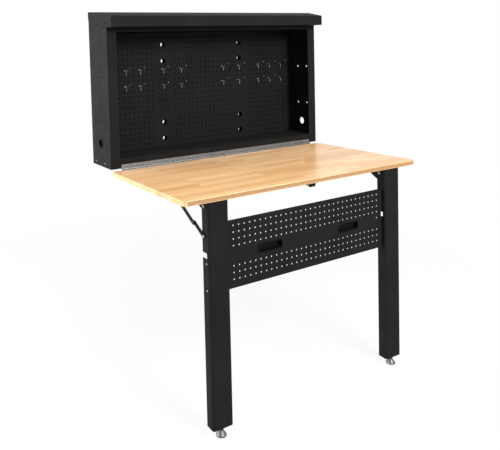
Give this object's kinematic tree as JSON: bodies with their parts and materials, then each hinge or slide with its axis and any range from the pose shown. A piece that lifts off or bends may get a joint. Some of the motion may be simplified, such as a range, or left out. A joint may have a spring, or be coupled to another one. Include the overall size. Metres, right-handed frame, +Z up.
{
  "type": "wall mounted folding workbench",
  "caption": "Wall cabinet with pegboard back and canopy; a wooden top on a piano hinge folds up to close it, with folding channel legs, jointed stays and a perforated leg panel.",
  "frame": {"origin": "middle of the cabinet's rear face, where it meets the wall, between the wall bolt holes", "axes": "+X along the wall to the right seen from the room, +Y into the wall, +Z up; the room lies at -Y"},
  "size_m": [1.206, 0.8256, 1.607],
  "materials": {
    "black_paint": "satin black powder coat with a fine texture",
    "zinc": "zinc plated, slightly dull",
    "chrome": "bright nickel or chrome plate",
    "wood": "clear lacquered hardwood strips glued side by side",
    "black_plastic": "moulded black plastic, matte"
  },
  "bodies": {
    "cabinet": {"rear_sheet": "black_paint", "pegboard": "black_paint", "floor_tray": "black_paint", "top_tray": "black_paint", "canopy": "black_paint", "side_wall_left": "black_paint", "side_wall_right": "black_paint", "hinge_leaf_cabinet": "zinc", "hinge_pin": "zinc", "hook_1_1": "chrome", "hook_1_2": "chrome", "hook_1_3": "chrome", "hook_1_4": "chrome", "hook_1_5": "chrome", "hook_1_6": "chrome", "hook_1_7": "chrome", "hook_1_8": "chrome", "hook_1_9": "chrome", "hook_2_1": "chrome", "hook_2_2": "chrome", "hook_2_3": "chrome", "hook_2_4": "chrome", "hook_2_5": "chrome", "hook_2_6": "chrome", "hook_2_7": "chrome", "hook_2_8": "chrome", "hook_2_9": "chrome"},
    "table": {"wooden_top": "wood", "hinge_leaf_top": "zinc", "latch_guide": "black_paint", "pivot_bracket_left": "black_paint", "pivot_bracket_right": "black_paint", "stay_bracket_left": "black_paint", "stay_bracket_right": "black_paint", "stay_pin_upper_left": "zinc", "stay_pin_upper_right": "zinc"},
    "legs": {"leg_panel": "black_paint", "leg_left": "black_paint", "leg_right": "black_paint", "pivot_bolt_left": "zinc", "pivot_bolt_right": "zinc", "foot_plate_left": "black_paint", "foot_plate_right": "black_paint", "pull_left": "black_plastic", "pull_right": "black_plastic", "stay_pin_lower_left": "zinc", "stay_pin_lower_right": "zinc"},
    "latch": {"latch_bolt": "black_paint"},
    "stay_upper_left": {"stay_link_upper_left": "black_paint", "stay_rivet_left": "zinc"},
    "stay_lower_left": {"stay_link_lower_left": "black_paint"},
    "levelling_foot_left": {"foot_left": "chrome"},
    "stay_upper_right": {"stay_link_upper_right": "black_paint", "stay_rivet_right": "zinc"},
    "stay_lower_right": {"stay_link_lower_right": "black_paint"},
    "levelling_foot_right": {"foot_right": "chrome"}
  },
  "joints": [
    {"name": "table_fold", "type": "hinge", "parent": "cabinet", "child": "table", "pos_m": [0, -0.2048, -0.315], "axis": [-1, 0, 0], "range_deg": [0, 90]},
    {"name": "leg_fold", "type": "hinge", "parent": "table", "child": "legs", "pos_m": [0, -0.7906, -0.357], "axis": [1, 0, 0], "range_deg": [0, 90]},
    {"name": "latch_slide", "type": "slide", "parent": "table", "child": "latch", "axis": [0, -1, 0], "range_m": [0, 0.016]},
    {"name": "stay_upper_left", "type": "hinge", "parent": "table", "child": "stay_upper_left", "pos_m": [-0.508, -0.6106, -0.357], "axis": [1, 0, 0], "range_deg": [-31.44, 0]},
    {"name": "stay_lower_left", "type": "hinge", "parent": "legs", "child": "stay_lower_left", "pos_m": [-0.505, -0.7906, -0.467], "axis": [1, 0, 0], "range_deg": [0, 58.58]},
    {"name": "foot_screw_left", "type": "slide", "parent": "legs", "child": "levelling_foot_left", "axis": [0, 0, -1], "range_m": [-0.01, 0.012]},
    {"name": "stay_upper_right", "type": "hinge", "parent": "table", "child": "stay_upper_right", "pos_m": [0.508, -0.6106, -0.357], "axis": [1, 0, 0], "range_deg": [-31.44, 0]},
    {"name": "stay_lower_right", "type": "hinge", "parent": "legs", "child": "stay_lower_right", "pos_m": [0.505, -0.7906, -0.467], "axis": [1, 0, 0], "range_deg": [0, 58.58]},
    {"name": "foot_screw_right", "type": "slide", "parent": "legs", "child": "levelling_foot_right", "axis": [0, 0, -1], "range_m": [-0.01, 0.012]}
  ],
  "couplings": [
    {"joint": "stay_upper_left", "follows": "leg_fold", "ratio": -0.34922},
    {"joint": "stay_lower_left", "follows": "leg_fold", "ratio": 0.65078},
    {"joint": "stay_upper_right", "follows": "leg_fold", "ratio": -0.34922},
    {"joint": "stay_lower_right", "follows": "leg_fold", "ratio": 0.65078}
  ]
}
